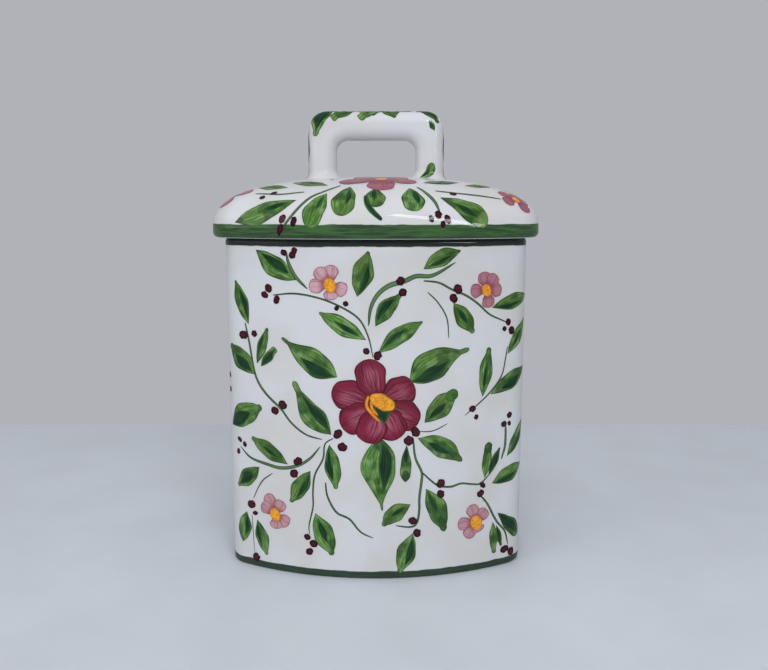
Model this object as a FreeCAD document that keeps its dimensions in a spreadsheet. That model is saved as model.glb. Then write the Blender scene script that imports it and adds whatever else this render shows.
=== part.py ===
import FreeCAD, Part
import math
import os

import Sketcher

# A slip-cast ceramic biscuit jar: a bow-fronted body, a domed lid that drops
# into its mouth by a locating flange, and a square loop handle stuck on the
# lid. Millimetres, +Z up, the front towards -Y, origin under the middle of
# the foot.

SIZES = [
    ("jar_width", 140, "body, outside, side to side"),
    ("jar_depth", 98, "body, outside, front bow to back bow"),
    ("jar_height", 156, "foot to rim"),
    ("bow_radius", 130, "curve of the front and the back in plan"),
    ("corner_radius", 14, "upright corners of the body in plan"),
    ("jar_wall", 5, "cast wall of the body"),
    ("floor_thickness", 5, "cast floor over the foot recess"),
    ("floor_round", 6, "inside, where the wall meets the floor"),
    ("foot_recess", 2, "how far the underside is set up inside the foot ring"),
    ("foot_ring", 7, "width of the ring that the jar stands on"),
    ("base_round", 1.2, "outer bottom edge"),
    ("rim_round", 1.8, "both edges of the rim"),
    ("lid_overhang", 5.5, "how far the lid stands out past the body"),
    ("lip_height", 3.5, "seat of the lid up to its widest line"),
    ("lip_round", 2.6, "lower outer edge of the lid"),
    ("dome_rise", 24.5, "widest line of the lid up to its crest"),
    ("dome_fullness", 2.5, "exponent of the dome's curve, where 2 is an ellipse"),
    ("lid_wall", 5, "cast wall of the lid"),
    ("flange_depth", 10, "how far the flange drops into the mouth"),
    ("flange_thickness", 4, "wall of the flange"),
    ("flange_gap", 1.5, "clearance between the flange and the mouth, all round"),
    ("flange_round", 1.2, "lower edges of the flange"),
    ("handle_width", 65, "outside, over both legs"),
    ("handle_rise", 31, "crest of the lid up to the top of the bar"),
    ("handle_bar", 13.5, "thickness of the legs and the bar, seen from the front"),
    ("handle_depth", 14, "thickness of the handle, front to back"),
    ("handle_corner", 9, "outer corners of the loop"),
    ("finger_corner", 5.5, "corners of the finger opening"),
    ("handle_round", 6, "rounding of the handle's long edges"),
    ("foot_flare", 5, "flare of the clay where the legs meet the lid"),
    ("foot_bed", 0.6, "how far the top of each foot lies under the dome"),
    ("foot_root", 2.4, "depth of each foot at its outer end, before the dome trims it"),
]

# Steps up the dome's curve, as angles of the superellipse, in degrees. They
# crowd together at the edge, where the curve is tight, and at the crest.
DOME_STEPS = [0, 6, 17, 30, 43, 55, 66, 75, 81, 85]

TOUCH = 1e-4  # how close two places are to count as the same
START, END, CENTRE = range(1, 4)  # a sketch's numbers for the points of a line or arc
ORIGIN, UPRIGHT_AXIS = range(-1, -3, -1)  # and for its own origin and upright axis

# Places that more than one piece uses, as expressions over the sheet's names.
FLOOR_TOP = "Sizes.foot_recess + Sizes.floor_thickness"
WIDEST = "Sizes.jar_height + Sizes.lip_height"
CREST = f"{WIDEST} + Sizes.dome_rise"
FLANGE_FOOT = "Sizes.jar_height - Sizes.flange_depth"
FLANGE_OUTSIDE = "-(Sizes.jar_wall + Sizes.flange_gap)"
FLANGE_INSIDE = "-(Sizes.jar_wall + Sizes.flange_gap + Sizes.flange_thickness)"


def dome_height(across):
    """Height of the dome's surface over a place on the X axis."""
    share = f"({across}) / (Sizes.jar_width / 2 + Sizes.lid_overhang)"
    full = "Sizes.dome_fullness"
    return f"{WIDEST} + Sizes.dome_rise * (1 - ({share}) ^ {full}) ^ (1 / {full})"


FOOT_SPREAD = "(Sizes.foot_flare + Sizes.foot_bed)"
FOOT_INSIDE = f"Sizes.handle_width / 2 - Sizes.handle_bar - {FOOT_SPREAD}"
FOOT_OUTSIDE = f"Sizes.handle_width / 2 + {FOOT_SPREAD}"
FOOT_LEVEL = f"{dome_height(FOOT_OUTSIDE)} - Sizes.foot_root"

document = FreeCAD.newDocument("BiscuitJar")


def make_sheet():
    sheet = document.addObject("Spreadsheet::Sheet", "Sizes")
    for row, (name, size, note) in enumerate(SIZES, start=1):
        sheet.set(f"A{row}", note)
        sheet.set(f"B{row}", str(size))
        sheet.setAlias(f"B{row}", name)
    document.recompute()
    return sheet


sheet = make_sheet()


def value(expression):
    """The number that an expression over the sheet's names stands for."""
    return float(sheet.evalExpression(expression))


def new_body(name):
    body = document.addObject("PartDesign::Body", name)
    body.Label = name
    body.Placement = FreeCAD.Placement()
    return body


def plane_sketch(body, name, role, level="0"):
    """A sketch on one of the body's own origin planes, raised by level."""
    sketch = body.newObject("Sketcher::SketchObject", name)
    plane = next(f for f in body.Origin.OriginFeatures if f.Role == role)
    sketch.AttachmentSupport = [(plane, "")]
    sketch.MapMode = "FlatFace"
    sketch.setExpression("AttachmentOffset.Base.z", level)
    return sketch


def draw_line(sketch, x0, y0, x1, y1):
    start, end = FreeCAD.Vector(x0, y0, 0), FreeCAD.Vector(x1, y1, 0)
    return sketch.addGeometry(Part.LineSegment(start, end))


def draw_arc(sketch, x, y, radius, start, end):
    circle = Part.Circle(FreeCAD.Vector(x, y, 0), FreeCAD.Vector(0, 0, 1), radius)
    return sketch.addGeometry(Part.ArcOfCircle(circle, start, end))


def bind(sketch, constraint, expression):
    """Add a sized constraint and tie it to the sheet."""
    index = sketch.addConstraint(constraint)
    sketch.setExpression(f"Constraints[{index}]", expression)


def bind_radius(sketch, arcs, expression):
    """Tie the first arc's radius to the sheet and make the others equal it."""
    bind(sketch, Sketcher.Constraint("Radius", arcs[0], value(expression)), expression)
    for other in arcs[1:]:
        sketch.addConstraint(Sketcher.Constraint("Equal", arcs[0], other))


def bind_place(sketch, kind, geometry, point, side, expression):
    """Tie a point's distance from the sketch origin, on the side given by +1 or -1."""
    ends = (ORIGIN, START, geometry, point) if side > 0 else (geometry, point, ORIGIN, START)
    bind(sketch, Sketcher.Constraint(kind, *ends, value(expression)), expression)


def add_plan(sketch, grow, scale):
    """The plan outline of the body, moved out by grow and then scaled.

    Bowed front and back, straight sides and four round corners, each tangent
    to the next. The same outline gives the mouth, the flange and the lid.
    """
    half_width = f"(Sizes.jar_width / 2 + {grow}) * ({scale})"
    half_depth = f"(Sizes.jar_depth / 2 + {grow}) * ({scale})"
    bow_radius = f"(Sizes.bow_radius + {grow}) * ({scale})"
    corner_radius = f"(Sizes.corner_radius + {grow}) * ({scale})"
    bow_centre = f"{bow_radius} - {half_depth}"

    side_x, bow, corner, centre_y = (value(e) for e in (half_width, bow_radius, corner_radius, bow_centre))
    corner_x = side_x - corner
    reach = math.sqrt((bow - corner) ** 2 - corner_x ** 2)
    corner_y = reach - centre_y
    swing = math.atan2(reach, corner_x)
    half_turn = math.pi

    front = draw_arc(sketch, 0, centre_y, bow, swing - half_turn, -swing)
    front_right = draw_arc(sketch, corner_x, -corner_y, corner, -swing, 0)
    right = draw_line(sketch, side_x, -corner_y, side_x, corner_y)
    back_right = draw_arc(sketch, corner_x, corner_y, corner, 0, swing)
    back = draw_arc(sketch, 0, -centre_y, bow, swing, half_turn - swing)
    back_left = draw_arc(sketch, -corner_x, corner_y, corner, half_turn - swing, half_turn)
    left = draw_line(sketch, -side_x, corner_y, -side_x, -corner_y)
    front_left = draw_arc(sketch, -corner_x, -corner_y, corner, half_turn, half_turn + swing)

    loop = [front, front_right, right, back_right, back, back_left, left, front_left]
    for piece, following in zip(loop, loop[1:] + loop[:1]):
        sketch.addConstraint(Sketcher.Constraint("Tangent", piece, END, following, START))
    for side in (right, left):
        sketch.addConstraint(Sketcher.Constraint("Vertical", side))
    for curve in (front, back):
        sketch.addConstraint(Sketcher.Constraint("PointOnObject", curve, CENTRE, UPRIGHT_AXIS))
    bind_radius(sketch, [front, back], bow_radius)
    bind_radius(sketch, [front_right, back_right, back_left, front_left], corner_radius)
    bind_place(sketch, "DistanceY", front, CENTRE, 1, bow_centre)
    bind_place(sketch, "DistanceY", back, CENTRE, -1, bow_centre)
    bind_place(sketch, "DistanceX", right, START, 1, half_width)
    bind_place(sketch, "DistanceX", left, START, -1, half_width)


def plan_sketch(body, name, level, grow, scale="1"):
    sketch = plane_sketch(body, name, "XY_Plane", level)
    add_plan(sketch, grow, scale)
    return sketch


def add_pad(body, name, sketch, length, reverse=False, midplane=False):
    pad = body.newObject("PartDesign::Pad", name)
    pad.Profile = sketch
    pad.setExpression("Length", length)
    pad.Reversed = reverse
    pad.Midplane = midplane
    document.recompute()
    return pad


def add_pocket(body, name, sketch, depth, reverse=False):
    before = body.Tip.Shape.Volume
    pocket = body.newObject("PartDesign::Pocket", name)
    pocket.Profile = sketch
    pocket.setExpression("Length", depth)
    pocket.Reversed = reverse
    document.recompute()
    if pocket.Shape.Volume >= before:
        raise RuntimeError(f"{name} cut nothing")
    return pocket


def add_loft(body, kind, name, sketches):
    loft = body.newObject(f"PartDesign::{kind}", name)
    loft.Profile = sketches[0]
    loft.Sections = sketches[1:]
    document.recompute()
    return loft


def add_fillet(body, name, radius, wanted):
    """Round the edges of the body's last feature that wanted() picks."""
    base = body.Tip
    edges = [f"Edge{i}" for i, edge in enumerate(base.Shape.Edges, start=1) if wanted(edge)]
    if not edges:
        raise RuntimeError(f"{name} found no edges")
    fillet = body.newObject("PartDesign::Fillet", name)
    fillet.Base = (base, edges)
    fillet.setExpression("Radius", radius)
    document.recompute()
    return fillet


def flat_at(level):
    """Picks the edges that lie flat at a level."""
    height = value(level)

    def wanted(edge):
        box = edge.BoundBox
        return abs(box.ZMin - height) < TOUCH and abs(box.ZMax - height) < TOUCH

    return wanted


def make_jar_body():
    """The cast body: walls, floor, rounded rim and foot ring."""
    body = new_body("jar_body")
    outside = plan_sketch(body, "jar_outline", "0", "0")
    add_pad(body, "jar_block", outside, "Sizes.jar_height")
    add_fillet(body, "base_edge", "Sizes.base_round", flat_at("0"))
    mouth = plan_sketch(body, "mouth_outline", "Sizes.jar_height", "-Sizes.jar_wall")
    add_pocket(body, "jar_hollow", mouth, f"Sizes.jar_height - ({FLOOR_TOP})")
    widest_round = "0.8 * (Sizes.corner_radius - Sizes.jar_wall)"
    add_fillet(body, "floor_edge", f"min(Sizes.floor_round; {widest_round})", flat_at(FLOOR_TOP))
    add_fillet(body, "rim", "Sizes.rim_round", flat_at("Sizes.jar_height"))
    underside = plan_sketch(body, "foot_outline", "0", "-Sizes.foot_ring")
    add_pocket(body, "foot_hollow", underside, "Sizes.foot_recess", reverse=True)
    return body


def dome_sketches(body, name, base, rise, grow):
    """Plan outlines up a dome whose sides follow a superellipse."""
    power = "(2 / Sizes.dome_fullness)"
    last = DOME_STEPS[-1]
    sketches = []
    for step in DOME_STEPS:
        level = f"{base} + ({rise}) * (sin({step}) / sin({last})) ^ {power}"
        scale = f"cos({step}) ^ {power}"
        sketches.append(plan_sketch(body, f"{name}_{step}", level, grow, scale))
    return sketches


def make_lid():
    """The cast lid: rounded lip, dome, locating flange and hollow underside."""
    body = new_body("lid")
    seat = plan_sketch(body, "lip_outline", "Sizes.jar_height", "Sizes.lid_overhang")
    add_pad(body, "lip", seat, "Sizes.lip_height")
    add_fillet(body, "lip_edge", "Sizes.lip_round", flat_at("Sizes.jar_height"))
    outside = dome_sketches(body, "dome", WIDEST, "Sizes.dome_rise", "Sizes.lid_overhang")
    dome = add_loft(body, "AdditiveLoft", "dome", outside)
    flange = plan_sketch(body, "flange_outline", "Sizes.jar_height", FLANGE_OUTSIDE)
    add_pad(body, "flange", flange, "Sizes.flange_depth", reverse=True)
    opening = plan_sketch(body, "flange_opening", FLANGE_FOOT, FLANGE_INSIDE)
    add_pocket(body, "flange_hollow", opening, "Sizes.flange_depth + Sizes.lid_wall", reverse=True)
    add_fillet(body, "flange_edge", "Sizes.flange_round", flat_at(FLANGE_FOOT))
    hollow_base = "Sizes.jar_height + Sizes.lid_wall"
    hollow_rise = "Sizes.lip_height + Sizes.dome_rise - 2 * Sizes.lid_wall"
    inside = dome_sketches(body, "hollow", hollow_base, hollow_rise, "Sizes.lid_overhang - Sizes.lid_wall")
    add_loft(body, "SubtractiveLoft", "dome_hollow", inside)
    return body, dome


def add_loop(sketch):
    """The handle seen from the front: two legs, a bar and round corners."""
    outside = "Sizes.handle_width / 2"
    inside = f"{outside} - Sizes.handle_bar"
    over = f"{CREST} + Sizes.handle_rise"
    under = f"{over} - Sizes.handle_bar"
    wide, leg, top, bottom = (value(e) for e in (outside, inside, over, under))
    foot, corner, finger = (value(e) for e in (FOOT_LEVEL, "Sizes.handle_corner", "Sizes.finger_corner"))
    quarter = math.pi / 2

    right_foot = draw_line(sketch, leg, foot, wide, foot)
    right = draw_line(sketch, wide, foot, wide, top - corner)
    right_corner = draw_arc(sketch, wide - corner, top - corner, corner, 0, quarter)
    bar_top = draw_line(sketch, wide - corner, top, corner - wide, top)
    left_corner = draw_arc(sketch, corner - wide, top - corner, corner, quarter, 2 * quarter)
    left = draw_line(sketch, -wide, top - corner, -wide, foot)
    left_foot = draw_line(sketch, -wide, foot, -leg, foot)
    left_inside = draw_line(sketch, -leg, foot, -leg, bottom - finger)
    left_finger = draw_arc(sketch, finger - leg, bottom - finger, finger, quarter, 2 * quarter)
    bar_under = draw_line(sketch, finger - leg, bottom, leg - finger, bottom)
    right_finger = draw_arc(sketch, leg - finger, bottom - finger, finger, 0, quarter)
    right_inside = draw_line(sketch, leg, bottom - finger, leg, foot)

    joins = [
        ("Coincident", right_foot, END, right, START),
        ("Tangent", right, END, right_corner, START),
        ("Tangent", right_corner, END, bar_top, START),
        ("Tangent", bar_top, END, left_corner, START),
        ("Tangent", left_corner, END, left, START),
        ("Coincident", left, END, left_foot, START),
        ("Coincident", left_foot, END, left_inside, START),
        ("Tangent", left_inside, END, left_finger, END),
        ("Tangent", left_finger, START, bar_under, START),
        ("Tangent", bar_under, END, right_finger, END),
        ("Tangent", right_finger, START, right_inside, START),
        ("Coincident", right_inside, END, right_foot, START),
    ]
    for join in joins:
        sketch.addConstraint(Sketcher.Constraint(*join))
    for upright in (right, left, left_inside, right_inside):
        sketch.addConstraint(Sketcher.Constraint("Vertical", upright))
    for level in (right_foot, bar_top, left_foot, bar_under):
        sketch.addConstraint(Sketcher.Constraint("Horizontal", level))
    bind_radius(sketch, [right_corner, left_corner], "Sizes.handle_corner")
    bind_radius(sketch, [right_finger, left_finger], "Sizes.finger_corner")
    legs = [(1, right, right_inside, right_foot), (-1, left, left_inside, left_foot)]
    for side, outer, inner, sole in legs:
        bind_place(sketch, "DistanceX", outer, START, side, outside)
        bind_place(sketch, "DistanceX", inner, START, side, inside)
        bind_place(sketch, "DistanceY", sole, START, 1, FOOT_LEVEL)
    bind_place(sketch, "DistanceY", bar_top, START, 1, over)
    bind_place(sketch, "DistanceY", bar_under, START, 1, under)


def add_foot(sketch, side):
    """One foot seen from the front, its top along the slope of the dome."""
    near = f"{dome_height(FOOT_INSIDE)} - Sizes.foot_bed"
    far = f"{dome_height(FOOT_OUTSIDE)} - Sizes.foot_bed"
    bottom = [(FOOT_INSIDE, FOOT_LEVEL), (FOOT_OUTSIDE, FOOT_LEVEL)]
    corners = bottom + [(FOOT_OUTSIDE, far), (FOOT_INSIDE, near)]
    places = [(side * value(x), value(z)) for x, z in corners]
    edges = [draw_line(sketch, *a, *b) for a, b in zip(places, places[1:] + places[:1])]
    for edge, following in zip(edges, edges[1:] + edges[:1]):
        sketch.addConstraint(Sketcher.Constraint("Coincident", edge, END, following, START))
    for edge, (across, level) in zip(edges, corners):
        bind_place(sketch, "DistanceX", edge, START, side, across)
        bind_place(sketch, "DistanceY", edge, START, 1, level)


def loop_edge(edge):
    """Picks the long edges round the front and the back of the loop."""
    face = value("Sizes.handle_depth / 2")
    box = edge.BoundBox
    on_face = abs(box.YMax - box.YMin) < TOUCH and abs(abs(box.YMin) - face) < TOUCH
    return on_face and box.ZMax > value(CREST)


def foot_edge(edge):
    """Picks the edges where the legs come out of the feet."""
    outside = value("Sizes.handle_width / 2")
    inside = outside - value("Sizes.handle_bar")
    face = value("Sizes.handle_depth / 2")
    box = edge.BoundBox
    nearest, farthest = sorted((abs(box.XMin), abs(box.XMax)))
    deepest = max(abs(box.YMin), abs(box.YMax))
    on_leg = nearest > inside - TOUCH and farthest < outside + TOUCH and deepest < face + TOUCH
    return on_leg and box.ZMax < value(CREST)


def make_lid_handle(dome):
    """The loop handle, its edges rounded and its feet flared on to the dome."""
    body = new_body("handle_form")
    loop = plane_sketch(body, "loop", "XZ_Plane")
    add_loop(loop)
    add_pad(body, "loop_block", loop, "Sizes.handle_depth", midplane=True)
    add_fillet(body, "loop_rounding", "Sizes.handle_round", loop_edge)
    feet = plane_sketch(body, "feet", "XZ_Plane")
    add_foot(feet, 1)
    add_foot(feet, -1)
    add_pad(body, "feet_block", feet, f"Sizes.handle_depth + 2 * {FOOT_SPREAD}", midplane=True)
    add_fillet(body, "foot_flare", "Sizes.foot_flare", foot_edge)
    handle = document.addObject("Part::Cut", "lid_handle")
    handle.Label = "lid_handle"
    handle.Base = body
    handle.Tool = dome
    document.recompute()
    return handle


def check_document(pieces):
    """Stop if any object failed, or any piece isn't one sound solid."""
    for item in document.Objects:
        if "Invalid" in item.State or "Error" in item.State:
            raise RuntimeError(f"{item.Label} failed: {item.State}")
    for piece in pieces:
        shape = piece.Shape
        if shape.isNull() or not shape.isValid() or len(shape.Solids) != 1:
            raise RuntimeError(f"{piece.Label} is not one sound solid")


jar_body = make_jar_body()
lid, dome = make_lid()
lid_handle = make_lid_handle(dome)
pieces = [jar_body, lid, lid_handle]

document.recompute()
check_document(pieces)
os.makedirs("parts", exist_ok=True)
for piece in pieces:
    piece.Shape.exportStep(f"parts/{piece.Label}.step")
    print(piece.Label, round(piece.Shape.Volume / 1000, 1), "cm3")
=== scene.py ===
import math
import random

import bpy
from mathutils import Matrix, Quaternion, Vector
from mathutils.bvhtree import BVHTree


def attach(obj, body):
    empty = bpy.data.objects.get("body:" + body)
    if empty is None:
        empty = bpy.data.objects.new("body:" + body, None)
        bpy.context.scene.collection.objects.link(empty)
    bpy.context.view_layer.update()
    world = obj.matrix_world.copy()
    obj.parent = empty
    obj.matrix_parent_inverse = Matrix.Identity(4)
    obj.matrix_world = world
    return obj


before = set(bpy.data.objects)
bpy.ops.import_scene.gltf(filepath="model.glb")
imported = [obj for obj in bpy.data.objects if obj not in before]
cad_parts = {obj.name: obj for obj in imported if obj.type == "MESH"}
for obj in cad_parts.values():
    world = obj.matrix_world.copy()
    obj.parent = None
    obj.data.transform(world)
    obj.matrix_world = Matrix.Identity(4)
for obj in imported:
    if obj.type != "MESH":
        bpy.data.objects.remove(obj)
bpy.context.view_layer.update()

# The biscuit jar as it looks: white glaze with hand-brushed green bands, and
# flowers, leaves and berries laid on it stroke by stroke. The strokes are thin
# pieces that lie on the glaze. Blender's own units are metres. Places and
# widths of paint are in millimetres, which MM turns into metres.

MM = 0.001
hand = random.Random(11)  # the painter's hand: every small irregularity

# The photograph's camera, from a fit to the jar's outline.
FRAME_WIDTH_PX = 768
FOCAL_PX = 796
SENSOR = 36
CAMERA_PLACE = (0.0038, -0.3946, 0.169)
CAMERA_TILT = 9.0  # degrees below the horizon

# Bands, as heights in millimetres. The body's two bands run off its foot and
# its rim, so their outer edges are anywhere past them.
BELOW_FOOT = -5
BASE_BAND_TOP = 3.8
RIM_BAND_FOOT = 152.7
ABOVE_RIM = 170
LID_BAND_FOOT = 155.3
LID_BAND_TOP = 162.4
BAND_WANDER = 0.64  # mm that a band's edge strays up or down at most
BAND_SOFTNESS = 0.2  # mm either side of the edge over which it fades
BAND_COVER = 0.96  # how much of the glaze a band hides

# The stage: a table, and the light that fills the room.
FLOOR_BACK = 0.219  # where the table ends behind the jar
FLOOR_HALF_WIDTH = 0.9
FLOOR_FRONT = -0.75
FLOOR_ROUGHNESS = 0.55
FILL_STRENGTH = 0.2


def srgb(red, green, blue):
    """A colour as the shader wants it, from the 0-255 numbers of a picture."""
    def linear(number):
        share = number / 255
        return share / 12.92 if share <= 0.04045 else ((share + 0.055) / 1.055) ** 2.4

    return (linear(red), linear(green), linear(blue), 1.0)


# Colours of the glaze, its bands and the stage.
GLAZE = srgb(211, 213, 218)
GLAZE_WARM = srgb(206, 206, 206)
BAND_LIGHT = srgb(46, 96, 32)
BAND_DARK = srgb(20, 54, 18)
BASE_BAND_LIGHT = srgb(24, 60, 34)
BASE_BAND_DARK = srgb(12, 40, 24)
# The rim band's colours: its own green, darkened to near black by painted shade from the lid's overhang.
RIM_BAND_SHADED_LIGHT = srgb(5, 30, 8)
RIM_BAND_SHADED_DARK = srgb(2, 12, 4)
SPECK = srgb(150, 140, 132)
TABLE = srgb(209, 216, 224)
TABLE_SHADE = srgb(205, 211, 219)
WALL = srgb(177, 178, 184)
SKY = srgb(245, 248, 255)

# Colours of the paints.
LEAF_LIGHT = srgb(124, 162, 84)
LEAF_WASH = srgb(156, 188, 132)
LEAF_MID = srgb(64, 108, 46)
LEAF_DEEP = srgb(22, 56, 24)
LEAF_OLIVE = srgb(80, 98, 44)
SHADE_LIGHT = srgb(34, 74, 42)
SHADE_DARK = srgb(10, 38, 24)
STEM_PALE = srgb(96, 130, 86)
STEM_DARK = srgb(40, 66, 46)
BERRY_DARK = srgb(30, 2, 10)
BERRY_LIGHT = srgb(80, 20, 36)
PETAL_DARK = srgb(54, 3, 16)
PETAL_MID = srgb(126, 32, 58)
PETAL_STREAK = srgb(188, 112, 132)
BLOSSOM_PALE = srgb(212, 176, 184)
BLOSSOM_DEEP = srgb(138, 56, 78)
HEART_YELLOW = srgb(238, 170, 48)
HEART_BROWN = srgb(192, 104, 30)

# How a stroke's mesh is made, and how unsteady the hand that paints it is.
ROW_STEP = 0.95  # mm along a stroke from one row of its mesh to the next
COLUMN_STEP = 1.3  # mm across it
UNSTEADY = 0.06  # how much a stroke's width wavers
WAVES = 13  # radians of that wavering along a whole stroke
BERRY_UNSTEADY = 0.09
BERRY_WAVES = 11
ENDS_ROWS = 12  # a stroke with no more rows than this has them crowded towards its ends
END_GAP = 0.004  # share of a stroke left off at each end, so that no face is a line
SIGHT = 60  # mm either side of a solid's middle that a line of sight is followed
SIGHT_STEP = 2  # mm from one look along it to the next
BLUNT_FROM = 0.93  # share of a leaf's length where its rounded tip begins
BLUNT_LENGTH = 0.07  # and the share that the tip takes
WIDTH_LOOKS = 12  # steps in which a stroke's greatest width is looked for
LEAST_ROWS = 10
PLAIN_TONES = 0.6  # a stroke with no tone of its own takes one from 0 to this
STREAK_SPREAD = 50  # mm over which strokes differ in where their streaks are taken from
PETAL_LAYER = 0.012  # mm that each petal of a small flower lies over the one before
LARGE_PETAL_LAYER = 0.015
ROUNDING = 1e-9

# The glaze's finish, the same under and over the paint.
ROUGHNESS = 0.16
COAT_WEIGHT = 0.7
COAT_IOR = 1.34
COAT_ROUGHNESS = 0.025
RELIEF_STRENGTH = 0.35
RELIEF_DEPTH = 0.0004


class Nodes:
    """A short way to add and join the nodes of a material, or of the world."""

    def __init__(self, owner, output="ShaderNodeOutputMaterial"):
        self.owner = owner
        owner.use_nodes = True
        self.tree = owner.node_tree
        self.tree.nodes.clear()
        self.output = self.add(output)

    def add(self, kind, **settings):
        node = self.tree.nodes.new(kind)
        for name, setting in settings.items():
            setattr(node, name, setting)
        return node

    def feed(self, socket, source):
        """Put a number, a colour or another node's output into a socket."""
        if isinstance(source, bpy.types.NodeSocket):
            self.tree.links.new(source, socket)
        else:
            socket.default_value = source

    def math(self, operation, *sources):
        node = self.add("ShaderNodeMath", operation=operation)
        for socket, source in zip(node.inputs, sources):
            self.feed(socket, source)
        return node.outputs[0]

    def blend(self, factor, first, second):
        """A colour that goes from first to second as factor goes from 0 to 1."""
        node = self.add("ShaderNodeMix", data_type="RGBA")
        self.feed(node.inputs[0], factor)
        self.feed(node.inputs[6], first)
        self.feed(node.inputs[7], second)
        return node.outputs[2]

    def ramp(self, source, low, high):
        """0 at low, 1 at high and smooth between. Either may be the greater."""
        node = self.add("ShaderNodeMapRange", interpolation_type="SMOOTHSTEP")
        for socket, number in zip(node.inputs, (source, low, high, 0.0, 1.0)):
            self.feed(socket, number)
        return node.outputs[0]

    def place(self, scale=(1, 1, 1)):
        """The object's own coordinates in millimetres, times scale."""
        coordinates = self.add("ShaderNodeTexCoord")
        mapping = self.add("ShaderNodeMapping")
        mapping.inputs["Scale"].default_value = [times / MM for times in scale]
        self.feed(mapping.inputs["Vector"], coordinates.outputs["Object"])
        return mapping.outputs[0]

    def noise(self, place, scale, detail=2.0, roughness=0.5):
        node = self.add("ShaderNodeTexNoise")
        self.feed(node.inputs["Vector"], place)
        node.inputs["Scale"].default_value = scale
        node.inputs["Detail"].default_value = detail
        node.inputs["Roughness"].default_value = roughness
        return node.outputs["Fac"]

    def split(self, attribute):
        """The three numbers of a stroke's attribute."""
        reader = self.add("ShaderNodeAttribute", attribute_name=attribute)
        split = self.add("ShaderNodeSeparateXYZ")
        self.feed(split.inputs[0], reader.outputs["Vector"])
        return split.outputs

    def streaks(self, low=0.36, high=0.66, fine=1.0, run=0.11):
        """Marks of the brush's hairs: long along the stroke and narrow across it.

        fine makes them smaller and a small run longer.
        """
        along, across = self.split("brush")[:2]
        place = self.add("ShaderNodeCombineXYZ")
        self.feed(place.inputs[0], self.math("MULTIPLY", along, run * fine))
        self.feed(place.inputs[1], self.math("MULTIPLY", across, 1.05 * fine))
        return self.ramp(self.noise(place.outputs[0], 1.0, 3.0, 0.6), low, high)

    def rim(self, width, waver=0.25):
        """1 at the edge of a stroke, 0 from width mm inwards."""
        edge = self.split("brush")[2]
        inside = self.ramp(self.strayed(edge, self.noise(self.place(), 0.9, 1.0), waver), 0.0, width)
        return self.math("SUBTRACT", 1.0, inside)

    def strayed(self, length, noise, most):
        """A length that noise moves by up to most millimetres either way."""
        sway = self.math("MULTIPLY", self.math("SUBTRACT", noise, 0.5), 2 * most)
        return self.math("ADD", length, sway)

    def share_of(self, factor, share):
        return self.math("MULTIPLY", factor, share)

    def height(self):
        """Height over the foot in millimetres."""
        split = self.add("ShaderNodeSeparateXYZ")
        self.feed(split.inputs[0], self.place())
        return split.outputs[2]

    def upward(self):
        """How far the surface faces up, from -1 to 1."""
        split = self.add("ShaderNodeSeparateXYZ")
        self.feed(split.inputs[0], self.add("ShaderNodeTexCoord").outputs["Normal"])
        return split.outputs[2]

    def outward(self):
        """How far the surface faces away from the upright middle line, from -1 to 1."""
        coordinates = self.add("ShaderNodeTexCoord")
        level = self.add("ShaderNodeVectorMath", operation="MULTIPLY")
        self.feed(level.inputs[0], coordinates.outputs["Object"])
        level.inputs[1].default_value = (1, 1, 0)
        away = self.add("ShaderNodeVectorMath", operation="NORMALIZE")
        self.feed(away.inputs[0], level.outputs[0])
        facing = self.add("ShaderNodeVectorMath", operation="DOT_PRODUCT")
        self.feed(facing.inputs[0], away.outputs[0])
        self.feed(facing.inputs[1], coordinates.outputs["Normal"])
        return facing.outputs["Value"]

    def glazed(self, colour):
        """The finished material: a clear glossy coat over the colour, with soft relief."""
        shader = self.add("ShaderNodeBsdfPrincipled")
        self.feed(shader.inputs["Base Color"], colour)
        shader.inputs["Roughness"].default_value = ROUGHNESS
        shader.inputs["Specular IOR Level"].default_value = 0.0
        shader.inputs["Coat Weight"].default_value = COAT_WEIGHT
        shader.inputs["Coat IOR"].default_value = COAT_IOR
        shader.inputs["Coat Roughness"].default_value = COAT_ROUGHNESS
        relief = self.add("ShaderNodeBump")
        relief.inputs["Strength"].default_value = RELIEF_STRENGTH
        relief.inputs["Distance"].default_value = RELIEF_DEPTH
        self.feed(relief.inputs["Height"], self.noise(self.place(), 0.12, 2.0))
        self.feed(shader.inputs["Normal"], relief.outputs[0])
        self.feed(shader.inputs["Coat Normal"], relief.outputs[0])
        self.feed(self.output.inputs[0], shader.outputs[0])
        return self.owner


def new_material(name):
    return Nodes(bpy.data.materials.new(name))


def bare_glaze(nodes):
    """The white glaze's colour: slow warm and cool drifts and a few fine specks."""
    drift = nodes.ramp(nodes.noise(nodes.place(), 0.035, 2.0), 0.35, 0.65)
    colour = nodes.blend(drift, GLAZE, GLAZE_WARM)
    speckle = nodes.ramp(nodes.noise(nodes.place(), 0.9, 1.0), 0.80, 0.84)
    return nodes.blend(nodes.share_of(speckle, 0.25), colour, SPECK)


def brushed_band(nodes, below, low, high, light, dark):
    """The colour below, with a band painted over it between two heights.

    Its edges wander. It is kept off faces that look straight down or inwards.
    """
    sway = nodes.noise(nodes.place((1, 1, 0.15)), 0.11, 3.0)
    level = nodes.strayed(nodes.height(), sway, BAND_WANDER)
    above_foot = nodes.ramp(level, low - BAND_SOFTNESS, low + BAND_SOFTNESS)
    past_top = nodes.ramp(level, high - BAND_SOFTNESS, high + BAND_SOFTNESS)
    cover = nodes.math("MULTIPLY", above_foot, nodes.math("SUBTRACT", 1.0, past_top))
    cover = nodes.math("MULTIPLY", cover, nodes.ramp(nodes.upward(), -0.95, -0.8))
    cover = nodes.math("MULTIPLY", cover, nodes.ramp(nodes.outward(), -0.35, -0.1))
    streak = nodes.ramp(nodes.noise(nodes.place((0.25, 0.25, 3)), 0.35, 3.0), 0.35, 0.68)
    paint = nodes.blend(streak, dark, light)
    return nodes.blend(nodes.share_of(cover, BAND_COVER), below, paint)


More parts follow.
